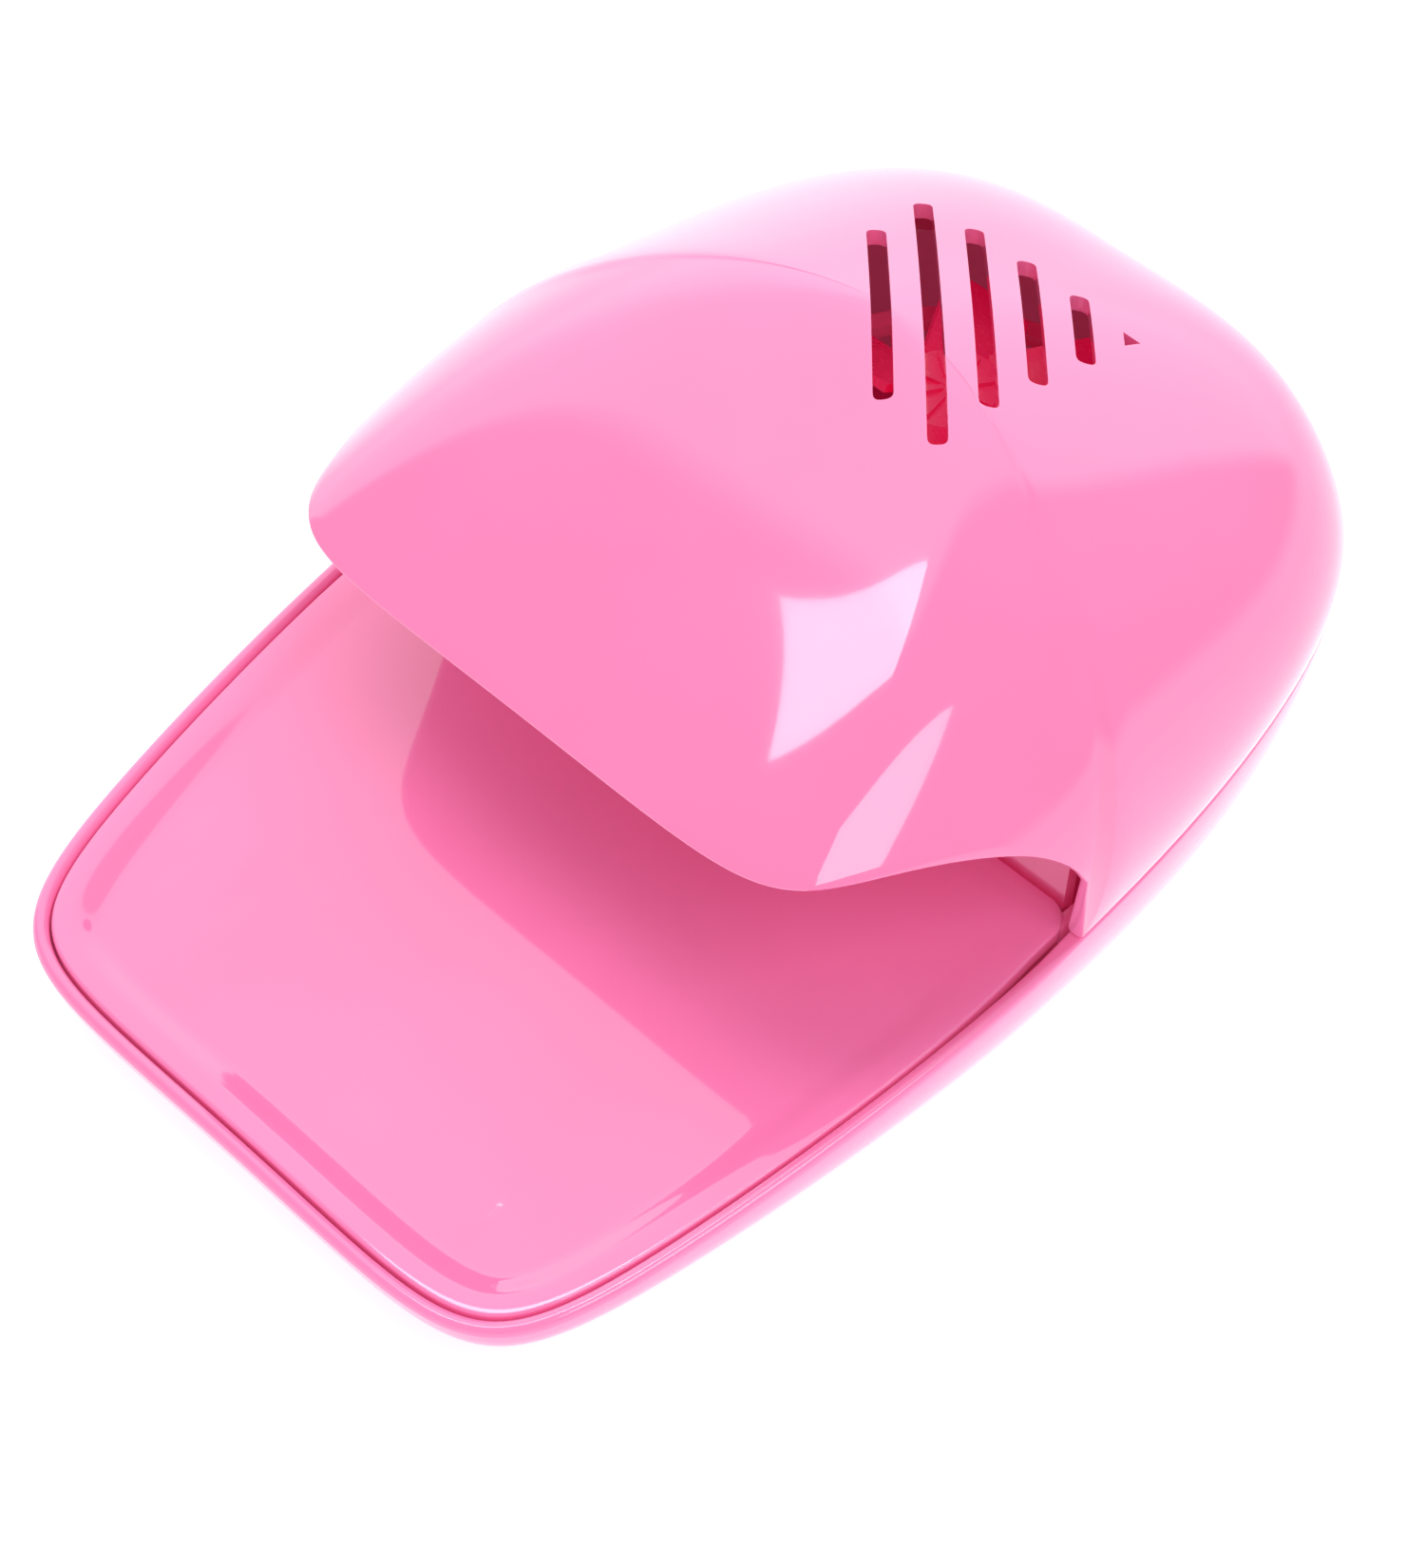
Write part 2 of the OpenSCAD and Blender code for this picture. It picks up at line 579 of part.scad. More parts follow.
module battery_door() {
    gap = part_gap;
    color(pink) difference() {
        intersection() {
            union() {
                translate([-door_half_x, door_front_y + gap, base_z]) cube([2 * door_half_x, body_l, door_t]);
                translate([-door_half_x - door_groove, door_front_y + gap, base_z + door_t / 2])
                    cube([2 * (door_half_x + door_groove), body_l, door_t / 2]);
            }
            translate([0, 0, base_z - 1]) linear_extrude(height = 5) polygon(plan_at(base_z, 0.2));
        }
        // Finger grip near the back edge
        for (i = [0 : 2]) translate([-6, y_back - base_tuck - 5 - 2.2 * i, base_z - 0.5]) cube([12, 1, 1]);
    }
}

// Switch under the tray: two strips clamped in a block; the upper one bends down in front of it
switch_y = y_front + 54;
switch_h = 5;
strip_z = floor_z + 1.2;
leaf_z = floor_z + 3.9;
leaf_t = 0.3;
leaf_root_y = switch_y - 3.6;
leaf_push_y = y_front + 32;
leaf_contact_y = leaf_push_y - 3;
strip_end_y = switch_y + 6;
pip_h = 0.6;
module strip(y0, y1, z) {
    translate([-2.5, y0, z]) cube([5, y1 - y0, leaf_t]);
}
module switch_block() {
    color([0.12, 0.12, 0.13]) difference() {
        translate([-5, switch_y - 3.5, floor_z]) cube([10, 7, switch_h]);
        for (z = [strip_z, leaf_z]) translate([-2.5, switch_y - 4, z]) cube([5, 8, leaf_t]);
    }
}
module switch_fixed_leaf() {
    color(brass) {
        strip(leaf_contact_y - 2, strip_end_y, strip_z);
        translate([0, leaf_contact_y, strip_z + leaf_t]) cylinder(h = pip_h, r = 1, $fn = 32);
    }
}
module switch_terminal() {
    color(brass) strip(switch_y - 3.5, strip_end_y, leaf_z);
}
module switch_moving_leaf() {
    color(brass) {
        strip(leaf_contact_y - 2, leaf_root_y, leaf_z);
        translate([0, leaf_contact_y, leaf_z - pip_h]) cylinder(h = pip_h, r = 1, $fn = 32);
    }
}

module tray_springs() {
    color(steel) for (s = [-1, 1]) translate([s * spring_x, spring_y, floor_z + 0.32])
        coil(spring_r, spring_r, tray_z(spring_y) - skirt - floor_z - 0.7, 4, 0.6);
}

module rubber_feet() {
    color([0.85, 0.85, 0.87]) for (s = [-1, 1]) {
        translate([s * (corner_pt.x - 12), y_front + 16, 0]) cylinder(h = foot_h, r = 3.5, $fn = 48);
        translate([s * (door_half_x + door_groove + 4.2), fan_y + 1, 0]) cylinder(h = foot_h, r = 2.8, $fn = 48);
    }
}

// A lead swept along hand-chosen points
module lead(path, r) {
    sides = 8;
    n = len(path);
    skin([for (i = [0 : n - 1]) let (
        t = unit(path[min(i + 1, n - 1)] - path[max(i - 1, 0)]),
        u = unit(cross(t, abs(t.z) > 0.9 ? [1, 0, 0] : [0, 0, 1])),
        w = cross(t, u))
        [for (k = [0 : sides - 1]) path[i] + r * (cos(360 * k / sides) * u + sin(360 * k / sides) * w)]]);
}
lead_r = 0.7;
plate_x = bay_half_x - contact_t / 2 - 0.05;
valley_z = cell_z + 5.2;
module wire_red() {
    color([0.8, 0.1, 0.1]) lead([[-plate_x, fan_y + 7.8, cell_z + 4], [-plate_x, fan_y + 7.8, cell_z + 5.6],
        [-plate_x + 1.8, fan_y + 5, bracket_z - 1.1], [-plate_x + 3.3, fan_y + 1.5, bracket_z - 1.5],
        [-22, fan_y, valley_z], [-12, fan_y, valley_z + 0.4], [-7, fan_y, valley_z + 2], [-6, fan_y, motor_z - 1.55]], lead_r);
}
module wire_black() {
    color([0.1, 0.1, 0.1]) lead([[6, fan_y, motor_z - 1.55], [7, fan_y, valley_z + 2], [12, fan_y, valley_z + 0.4],
        [22, fan_y, valley_z], [27, fan_y - 1, bracket_z - 1.5], [29.5, fan_y - 5, bracket_z - 1.4],
        [31.3, door_front_y + 2, cell_z + 4], [31, door_front_y - 3.8, cell_z + 0.4], [20, door_front_y - 7, floor_z + 4],
        [8, 0, floor_z + 4], [0, strip_end_y + 4, leaf_z + 0.15], [0, strip_end_y, leaf_z + 0.15]], lead_r);
}
module wire_link() {
    color([0.1, 0.1, 0.1]) lead([[0, strip_end_y, strip_z + 0.15], [0, strip_end_y + 4, strip_z + 0.15], [-8, 0, floor_z + 2],
        [-20, door_front_y - 7, floor_z + 3], [-31, door_front_y - 3.8, cell_z + 0.4], [-31.2, door_front_y + 3, cell_z + 5],
        [-plate_x, fan_y - 7.8, cell_z + 6.8], [-plate_x, fan_y - 7.8, cell_z + 5]], lead_r);
}

base_shell();
hood_shell();
press_tray();
air_guide();
fan_wheel();
motor_shaft();
motor_can();
motor_end_cap();
motor_bracket();
bracket_screws();
battery_front();
battery_rear();
negative_springs();
positive_contacts();
battery_link();
battery_door();
switch_block();
switch_fixed_leaf();
switch_terminal();
switch_moving_leaf();
tray_springs();
housing_screws();
rubber_feet();
wire_red();
wire_black();
wire_link();
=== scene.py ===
import bmesh
import bpy
import json
import math
from mathutils import Matrix, Vector


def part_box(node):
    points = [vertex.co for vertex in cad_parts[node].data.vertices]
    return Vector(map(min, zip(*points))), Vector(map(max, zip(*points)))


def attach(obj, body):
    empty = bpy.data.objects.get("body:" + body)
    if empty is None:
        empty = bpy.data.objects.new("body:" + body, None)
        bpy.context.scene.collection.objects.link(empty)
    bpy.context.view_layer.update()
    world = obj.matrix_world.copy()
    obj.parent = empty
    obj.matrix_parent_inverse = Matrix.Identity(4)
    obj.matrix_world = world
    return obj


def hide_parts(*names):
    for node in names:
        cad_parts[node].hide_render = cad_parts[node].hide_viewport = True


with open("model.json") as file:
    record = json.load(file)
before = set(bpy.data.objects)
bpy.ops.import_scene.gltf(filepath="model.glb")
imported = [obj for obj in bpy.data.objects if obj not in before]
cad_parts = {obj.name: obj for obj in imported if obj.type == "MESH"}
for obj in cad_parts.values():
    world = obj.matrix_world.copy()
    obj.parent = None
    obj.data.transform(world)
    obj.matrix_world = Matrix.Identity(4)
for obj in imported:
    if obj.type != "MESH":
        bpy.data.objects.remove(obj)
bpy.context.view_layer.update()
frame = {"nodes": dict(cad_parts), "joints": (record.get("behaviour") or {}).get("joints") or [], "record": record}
MM = 0.001
scene = bpy.context.scene
scene.view_settings.view_transform = "Standard"

# ---------------------------------------------------------------- camera
AZIMUTH, ELEVATION = math.radians(45.378), math.radians(49.167)
DISTANCE, AIM_Z, SHIFT_X, SHIFT_Y = 0.40534, 0.025, 0.000303, 0.011683
level = math.cos(ELEVATION)
forward = Vector((-math.sin(AZIMUTH) * level, math.cos(AZIMUTH) * level, -math.sin(ELEVATION)))
right = Vector((math.cos(AZIMUTH), math.sin(AZIMUTH), 0))
up = right.cross(forward)
cam_data = bpy.data.cameras.new("camera")
cam_data.lens, cam_data.sensor_width, cam_data.sensor_fit = 97.776, 36.0, "HORIZONTAL"
cam_data.clip_start, cam_data.clip_end = 0.01, 20
camera = bpy.data.objects.new("camera", cam_data)
camera.rotation_mode = "QUATERNION"
camera.rotation_quaternion = Matrix((right, up, -forward)).transposed().to_quaternion()
camera.location = Vector((0, 0, AIM_Z)) - forward * DISTANCE - right * SHIFT_X - up * SHIFT_Y
scene.collection.objects.link(camera)
scene.camera = camera

# ---------------------------------------------------------------- body shape, in millimetres, as in the CAD
BODY_L, BODY_W = 138.0, 96.0
Y_FRONT, Y_BACK = -BODY_L / 2, BODY_L / 2
RIM_FRONT, RIM_SLOPE, RIM_BACK = 8.4, 0.142, 2.5
WALL, FLOOR_T, BASE_Z = 1.75, 2.0, 1.0
FLOOR_Z = BASE_Z + FLOOR_T
# Where ribs and posts start, just inside the floor
ROOT_Z = FLOOR_Z - 0.2
TUCK, TUCK_FRONT, TUCK_BACK = 6.0, 2.6, 1.4
CROWN_H, HOOD_WALL, CROWN_Y, CROWN_SHIFT, CROWN_TILT = 63.0, 2.0, Y_BACK - 55.7, 12.4, -0.277
VISOR_CUT, LEG_Y, VISOR_Y = 0.481, Y_FRONT + 72, Y_FRONT + 3.3
TRAY_INSET, TRAY_DROP, DISH, TRAY_T, BORDER = WALL + 0.25, 0.3, 1.8, 1.6, 1.7
TRAY_BACK, TRAY_DRAW, DRAW_L = LEG_Y + 3.6, 0.7, 20.0
FLARE = (0.173, 0.985)
CORNER = (BODY_W / 2 - 4.2, Y_FRONT + 26.6)
WIDEST = (BODY_W / 2, 0.0)


def along_flare(k):
    return (CORNER[0] + k * FLARE[0], CORNER[1] + k * FLARE[1])


CURVES = [
    [(0, Y_FRONT), (CORNER[0] - 8.5, Y_FRONT), along_flare(-30), CORNER],
    [CORNER, along_flare(13.5), (WIDEST[0], WIDEST[1] - 11.5), WIDEST],
    [WIDEST, (WIDEST[0], Y_BACK * 1.04), (26, Y_BACK), (0, Y_BACK)],
]
FRONT_STEPS, SIDE_STEPS, BACK_STEPS = 40, 14, 48
FRONT_COLUMNS = [(0, i / FRONT_STEPS) for i in range(FRONT_STEPS)]
FRONT_COLUMNS += [(1, i / SIDE_STEPS) for i in range(SIDE_STEPS + 1)]
COLUMNS = FRONT_COLUMNS[:-1] + [(2, i / BACK_STEPS) for i in range(BACK_STEPS + 1)]


def plan_pt(column, inset=0.0):
    """A point of the plan outline, moved inwards."""
    p, t = CURVES[column[0]], column[1]
    s = 1 - t
    shares = (s ** 3, 3 * s * s * t, 3 * s * t * t, t ** 3)
    slopes = (s * s, 2 * s * t, t * t)
    at = [sum(w * q[k] for w, q in zip(shares, p)) for k in (0, 1)]
    go = [sum(w * (b[k] - a[k]) for w, a, b in zip(slopes, p, p[1:])) for k in (0, 1)]
    n = math.hypot(*go)
    return at[0] - inset * go[1] / n, at[1] + inset * go[0] / n


OUTLINE = {c: plan_pt(c) for c in COLUMNS + FRONT_COLUMNS}


def smooth(t):
    t = min(max(t, 0), 1)
    return t * t * (3 - 2 * t)


def mix(a, b, t):
    return a + (b - a) * t


def rim_z(y):
    return RIM_FRONT + RIM_SLOPE * (y - Y_FRONT) + RIM_BACK * (max(y - LEG_Y, 0) / (Y_BACK - LEG_Y)) ** 2


def tuck(y, v):
    return TUCK * v ** mix(TUCK_FRONT, TUCK_BACK, (y - Y_FRONT) / BODY_L) if v > 0 else 0


def swell(h, p, a, b):
    return (1 + a * h + b * h * h) * math.sqrt(max(1 - h ** p, 0))


def hood_pt(o, h, drop=0.0):
    back = smooth((o[1] - CROWN_Y + 30) / 60)
    ky = swell(h, 1.03, -0.397, -0.32) * (1 - back) + swell(h, 5.09, -0.3, 0.145) * back
    y = CROWN_Y + (o[1] - CROWN_Y) * ky + CROWN_SHIFT * h * h
    z = rim_z(o[1]) * (1 - h) + (CROWN_H - drop + CROWN_TILT * (y - CROWN_Y)) * h
    return (o[0] * swell(h, 1.87, 0.3, -0.283), y, z)


def cut_h(y):
    t = min(max((LEG_Y - y) / (LEG_Y - VISOR_Y), 0), 1)
    return VISOR_CUT * (1 - (1 - t) ** 2.275) ** (1 / 3.3)


def mirrored(half):
    return half + [(-p[0], p[1], p[2]) for p in half[-2:0:-1]]


# ---------------------------------------------------------------- mesh helpers
def skin(bm, rings):
    """Closed skin over rings of equal counts, capped at both ends."""
    rows = [[bm.verts.new(Vector(p) * MM) for p in ring] for ring in rings]
    n = len(rows[0])
    for a, b in zip(rows, rows[1:]):
        for i in range(n):
            j = (i + 1) % n
            bm.faces.new((a[i], a[j], b[j], b[i]))
    bm.faces.new(rows[0][::-1])
    bm.faces.new(rows[-1])


def block(bm, low, high, round_by=0.25):
    """A box with bevelled edges."""
    low, high = Vector(low), Vector(high)
    made = bmesh.ops.create_cube(bm, size=1)["verts"]
    for v in made:
        v.co = Vector([mix(low[k], high[k], v.co[k] + 0.5) for k in range(3)]) * MM
    edges = {e for v in made for e in v.link_edges}
    bmesh.ops.bevel(bm, geom=list(edges), offset=round_by * MM, segments=2, profile=0.5, affect="EDGES")


def turned(bm, x, y, profile, steps=48):
    """A solid of revolution about a vertical axis; profile is (radius, z) from the bottom to the top."""
    skin(bm, [[(x + r * math.cos(2 * math.pi * i / steps), y + r * math.sin(2 * math.pi * i / steps), z)
               for i in range(steps)] for r, z in profile])


def tube_post(bm, x, y, z0, z1, r, hole):
    turned(bm, x, y, [(hole, z0), (r, z0), (r, z1 - 0.2), (r - 0.2, z1), (hole, z1), (hole, z0 + 0.5)])


def finish_mesh(name, bm, body, material, replaces=(), angle=32):
    bmesh.ops.recalc_face_normals(bm, faces=bm.faces[:])
    mesh = bpy.data.meshes.new(name)
    bm.to_mesh(mesh)
    bm.free()
    mesh.materials.append(material)
    mesh.polygons.foreach_set("use_smooth", [True] * len(mesh.polygons))
    obj = bpy.data.objects.new(name, mesh)
    scene.collection.objects.link(obj)
    if angle:
        mesh.set_sharp_from_angle(angle=math.radians(angle))
    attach(obj, body)
    if replaces:
        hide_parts(*replaces)
    return obj


def cutter(name, build):
    bm = bmesh.new()
    build(bm)
    bmesh.ops.recalc_face_normals(bm, faces=bm.faces[:])
    mesh = bpy.data.meshes.new(name)
    bm.to_mesh(mesh)
    bm.free()
    obj = bpy.data.objects.new(name, mesh)
    scene.collection.objects.link(obj)
    return obj


def cut(obj, tool):
    mod = obj.modifiers.new("cut", "BOOLEAN")
    mod.operation, mod.solver, mod.object = "DIFFERENCE", "MANIFOLD", tool
    deps = bpy.context.evaluated_depsgraph_get()
    mesh = bpy.data.meshes.new_from_object(obj.evaluated_get(deps))
    obj.modifiers.clear()
    old = obj.data
    obj.data = mesh
    bpy.data.meshes.remove(old)
    bpy.data.objects.remove(tool)


# ---------------------------------------------------------------- materials
def plastic(name, colour, rough=0.1, coat=0.6, grain=90.0, depth=0.004, shade=0.05, scatter=0.0):
    """Moulded plastic: faint colour drift, uneven gloss and a fine skin."""
    mat = bpy.data.materials.new(name)
    mat.use_nodes = True
    nodes, links = mat.node_tree.nodes, mat.node_tree.links
    bsdf = nodes["Principled BSDF"]
    place = nodes.new("ShaderNodeTexCoord")
    drift = nodes.new("ShaderNodeTexNoise")
    drift.inputs["Scale"].default_value = 35
    drift.inputs["Detail"].default_value = 3
    links.new(place.outputs["Object"], drift.inputs["Vector"])
    ramp = nodes.new("ShaderNodeValToRGB")
    ramp.color_ramp.elements[0].position, ramp.color_ramp.elements[1].position = 0.3, 0.7
    ramp.color_ramp.elements[0].color = [c * (1 - shade) for c in colour] + [1]
    ramp.color_ramp.elements[1].color = [min(c * (1 + shade * 0.5), 1) for c in colour] + [1]
    links.new(drift.outputs["Fac"], ramp.inputs["Fac"])
    links.new(ramp.outputs["Color"], bsdf.inputs["Base Color"])
    fine = nodes.new("ShaderNodeTexNoise")
    fine.inputs["Scale"].default_value = grain * 10
    fine.inputs["Detail"].default_value = 4
    links.new(place.outputs["Object"], fine.inputs["Vector"])
    gloss = nodes.new("ShaderNodeMapRange")
    gloss.inputs["To Min"].default_value, gloss.inputs["To Max"].default_value = rough * 0.8, rough * 1.3
    links.new(fine.outputs["Fac"], gloss.inputs["Value"])
    links.new(gloss.outputs["Result"], bsdf.inputs["Roughness"])
    bump = nodes.new("ShaderNodeBump")
    bump.inputs["Strength"].default_value = depth * 10
    bump.inputs["Distance"].default_value = 0.00005
    links.new(fine.outputs["Fac"], bump.inputs["Height"])
    links.new(bump.outputs["Normal"], bsdf.inputs["Normal"])
    bsdf.inputs["Coat Weight"].default_value = coat
    bsdf.inputs["Coat Roughness"].default_value = 0.03
    bsdf.inputs["IOR"].default_value = 1.49
    if scatter:
        bsdf.inputs["Subsurface Weight"].default_value = scatter
        bsdf.inputs["Subsurface Radius"].default_value = (1.0, 0.35, 0.5)
        bsdf.inputs["Subsurface Scale"].default_value = 0.002
    return mat


def metal(name, colour, rough=0.25):
    """Drawn or stamped metal with fine streaks."""
    mat = plastic(name, colour, rough=rough, coat=0.0, grain=160, depth=0.02, shade=0.12)
    mat.node_tree.nodes["Principled BSDF"].inputs["Metallic"].default_value = 1.0
    return mat


PINK = (1.0, 0.23, 0.495)
# Painted glow tints: fixed emission colours that stand in for light coming through the pink plastic
PAINTED_RED_GLOW, PAINTED_PINK_GLOW, PAINTED_PALE_GLOW = (0.75, 0.0, 0.06, 1), (1.0, 0.2, 0.45, 1), (1.0, 0.25, 0.6, 1)
pink_hood = plastic("pink_hood", PINK, rough=0.07, coat=0.8)
pink_base = plastic("pink_base", PINK, rough=0.1, coat=0.6)
pink_tray = plastic("pink_tray", PINK, rough=0.06, coat=0.8)
pink_inner = plastic("pink_inner", PINK, rough=0.2, coat=0.2)
# The fan's pink plastic, darkened to crimson as painted shade for the fan deep inside the vents; it also gets a
# painted red glow below
fan_shaded_pink = plastic("fan_pink_painted_shade", (0.72, 0.06, 0.18), rough=0.25, coat=0.3)
slot_materials = {
    "pink_plastic": pink_inner,
    "crimson_plastic": fan_shaded_pink,
    "black_plastic": plastic("black_plastic", (0.02, 0.02, 0.022), rough=0.4, coat=0.0, depth=0.03),
    "cell_wrap": plastic("cell_wrap", (0.06, 0.08, 0.10), rough=0.2, coat=0.5),
    "steel": metal("steel", (0.62, 0.62, 0.64)),
    "brass": metal("brass", (0.78, 0.58, 0.26)),
    "rubber": plastic("pale_rubber", (0.55, 0.55, 0.55), rough=0.6, coat=0.0, depth=0.05),
    "red_sleeve": plastic("red_sleeve", (0.55, 0.02, 0.02), rough=0.35, coat=0.0),
    "black_sleeve": plastic("black_sleeve", (0.015, 0.015, 0.015), rough=0.35, coat=0.0),
}


def add_glow(material, tint, strength):
    """A fixed emission: on the pink and fan plastics a painted glow, standing in for light that comes through the
    plastic's thickness; on the floor an even white.
    """
    shader = material.node_tree.nodes["Principled BSDF"]
    shader.inputs["Emission Color"].default_value = tint
    shader.inputs["Emission Strength"].default_value = strength


# Painted glow: a faint fixed emission lifts the shaded pink parts, and a stronger red one lights the fan inside
# the vents
add_glow(pink_inner, PAINTED_RED_GLOW, 0.05)
add_glow(fan_shaded_pink, PAINTED_RED_GLOW, 0.3)
add_glow(pink_tray, PAINTED_PALE_GLOW, 0.05)
add_glow(pink_base, PAINTED_PINK_GLOW, 0.05)
for part in frame["record"]["subparts"]:
    node = frame["nodes"][part["node"]]
    node.data.materials.clear()
    node.data.materials.append(slot_materials[part["material_slot"]])

# ---------------------------------------------------------------- base
TURN = 10


def base_half(v, off, dz=0.0):
    out = []
    for c in COLUMNS:
        y = OUTLINE[c][1]
        p = plan_pt(c, tuck(y, v) + off)
        out.append((p[0], p[1], BASE_Z + (rim_z(y) - BASE_Z) * (1 - v) + dz))
    return mirrored(out)


def rim_ring(a):
    """Ring a, from 0 outside to 1 inside, of the rim's rounded top: full in front, crisp under the hood."""
    out = []
    for c in COLUMNS:
        y = OUTLINE[c][1]
        open_part = 1 - smooth((y - LEG_Y + 4) / 5)
        r = mix(0.35, WALL / 2, open_part)
        if a <= 0.5:
            ang = a * math.pi
            off, dz = r - r * math.cos(ang), -r + r * math.sin(ang)
        else:
            ang = (1 - a) * math.pi
            off, dz = WALL - r + r * math.cos(ang), -r + r * math.sin(ang)
        p = plan_pt(c, off)
        out.append((p[0], p[1], rim_z(y) + dz))
    return mirrored(out)


def inner_ring(v):
    out = []
    for c in COLUMNS:
        y = OUTLINE[c][1]
        p = plan_pt(c, max(WALL, tuck(y, v) + WALL * 0.7))
        out.append((p[0], p[1], BASE_Z + (rim_z(y) - BASE_Z) * (1 - v)))
    return mirrored(out)


def floor_ring():
    out = []
    for c in COLUMNS:
        y = OUTLINE[c][1]
        p = plan_pt(c, tuck(y, 1 - FLOOR_T / (rim_z(y) - BASE_Z)) + WALL)
        out.append((p[0], p[1], FLOOR_Z))
    return mirrored(out)


def node_box(name):
    low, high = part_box(name)
    return Vector(low) / MM, Vector(high) / MM


def spots(columns, inset):
    """Both sides' points at the given outline columns."""
    return [(s * plan_pt(c, inset)[0], plan_pt(c, inset)[1]) for c in columns for s in (1, -1)]


BOSS_COLUMNS, BOSS_INSET = [(2, 0.1), (2, 0.28)], 9.3
SCREWS = spots(BOSS_COLUMNS, BOSS_INSET)
POST_R, POST_HOLE, HEAD_R, HEAD_H, POST_DROP = 3.1, 1.5, 2.5, 4, 0.8
BRACKET_POST_R, BRACKET_POST_HOLE = 2.7, 0.8
SPRING_X, SPRING_Y = 22, Y_FRONT + 34
door_low, door_high = node_box("battery_door")
cell_low, cell_high = node_box("battery_front")
FAN_Y = (node_box("motor_can")[0].y + node_box("motor_can")[1].y) / 2
BAY_X, BAY_Y, BAY_WALL = 30.6, FAN_Y - door_low.y + 0.3, 1.5
BAY_Y0, BAY_Y1 = FAN_Y - BAY_Y, FAN_Y + BAY_Y
BAY_TOP = (cell_low.z + cell_high.z) / 2 + 0.8
SHELF_L, SHELF_LOW, SHELF_HIGH = 9.5, door_high.z + 0.33, door_high.z + 1.9
GROOVE_TOP = door_high.z + 0.3


def build_base(bm):
    depths = [1, 0.97, 0.93, 0.88, 0.82, 0.75, 0.68, 0.6, 0.52, 0.44, 0.36, 0.28, 0.2, 0.13]
    rings = [base_half(1, 0.35, 0.0), base_half(0.985, 0.0)]
    rings += [base_half(v, 0) for v in depths[1:]]
    rings += [rim_ring(i / (2 * TURN)) for i in range(2 * TURN + 1)]
    rings += [inner_ring(v) for v in (0.2, 0.3, 0.4, 0.5, 0.62)] + [floor_ring()]
    skin(bm, rings)


bm = bmesh.new()
build_base(bm)
base = finish_mesh("base_skin", bm, "base", pink_base, replaces=["base_shell"], angle=0)


def floor_cut(bm):
    block(bm, (-BAY_X, BAY_Y0, BASE_Z - 1), (BAY_X, BAY_Y1, FLOOR_Z + 1), 0.1)


def groove_cut(bm):
    block(bm, (-BAY_X + 0.3, BAY_Y0, BASE_Z - 1), (BAY_X - 0.3, BAY_Y0 + BODY_L, GROOVE_TOP), 0.1)


def tongue_cut(bm):
    low = (door_low.x - 0.3, BAY_Y0, door_low.z + 0.65)
    block(bm, low, (door_high.x + 0.3, BAY_Y0 + BODY_L, GROOVE_TOP), 0.1)


def screw_cut(bm):
    for x, y in SCREWS:
        turned(bm, x, y, [(HEAD_R, BASE_Z - 1), (HEAD_R, FLOOR_Z + 2)])


for n, build in enumerate((floor_cut, groove_cut, tongue_cut, screw_cut)):
    cut(base, cutter("tool%d" % n, build))
base.data.set_sharp_from_angle(angle=math.radians(32))



def shelf_ring(z):
    """Outline at height z of the shelf over the door's tongue, kept inside the base wall."""
    out = [(0, BAY_Y1, z), (BAY_X, BAY_Y1, z)]
    for c in COLUMNS:
        y = OUTLINE[c][1]
        if y > 0:
            px, py = plan_pt(c, tuck(y, 1 - (door_high.z - BASE_Z) / (rim_z(y) - BASE_Z)) + WALL / 2)
            if BAY_Y1 < py < BAY_Y1 + SHELF_L:
                out.append((min(px, BAY_X), py, z))
    out.append((out[-1][0], BAY_Y1 + SHELF_L, z))
    return mirrored(out + [(0, BAY_Y1 + SHELF_L, z)])


bm = bmesh.new()
for x, y in SCREWS:
    tube_post(bm, x, y, BASE_Z + HEAD_H, rim_z(y) - POST_DROP, POST_R, POST_HOLE)
    z0, z1 = BASE_Z + 0.1, BASE_Z + HEAD_H + 0.1
    turned(bm, x, y, [(HEAD_R, z0), (POST_R, z0), (POST_R, z1), (HEAD_R, z1)])
post_box = node_box("bracket_screws")
EAR_LOW, EAR_HIGH = 13.1, 19.1
for s in (-1, 1):
    x = s * (post_box[1].x - 2)
    bracket_low = node_box("motor_bracket")[0].z
    tube_post(bm, x, FAN_Y, ROOT_Z, bracket_low, BRACKET_POST_R, BRACKET_POST_HOLE)
bay_side, bay_front, bay_rear = BAY_X + BAY_WALL, BAY_Y0 - BAY_WALL, BAY_Y1 + BAY_WALL
for x in (-bay_side, BAY_X):
    block(bm, (x, bay_front, ROOT_Z), (x + BAY_WALL, bay_rear, BAY_TOP))
block(bm, (-bay_side, bay_front, ROOT_Z), (bay_side, BAY_Y0, BAY_TOP))
block(bm, (-bay_side, BAY_Y1, SHELF_LOW), (bay_side, bay_rear, BAY_TOP))
skin(bm, [shelf_ring(z) for z in (SHELF_LOW, SHELF_HIGH)])
for s in (-1, 1):
    stub = [(2.1, ROOT_Z), (2.1, FLOOR_Z + 1.1), (1.8, FLOOR_Z + 1.4)]
    turned(bm, s * SPRING_X, SPRING_Y, stub)
for x in (-6.5, 5):
    # ribs that hold the switch block
    block(bm, (x, -18.5, ROOT_Z), (x + 1.5, -11.5, FLOOR_Z + 2))
for s in (-1, 1):
    # ears for the tray's pins
    x0, x1 = sorted((s * (WIDEST[0] - WALL - 0.6), s * (WIDEST[0] - WALL + 0.4)))
    block(bm, (x0, TRAY_BACK + 0.3, EAR_LOW), (x1, TRAY_BACK + 5.3, EAR_HIGH), 0.2)
finish_mesh("base_ribs", bm, "base", pink_inner)

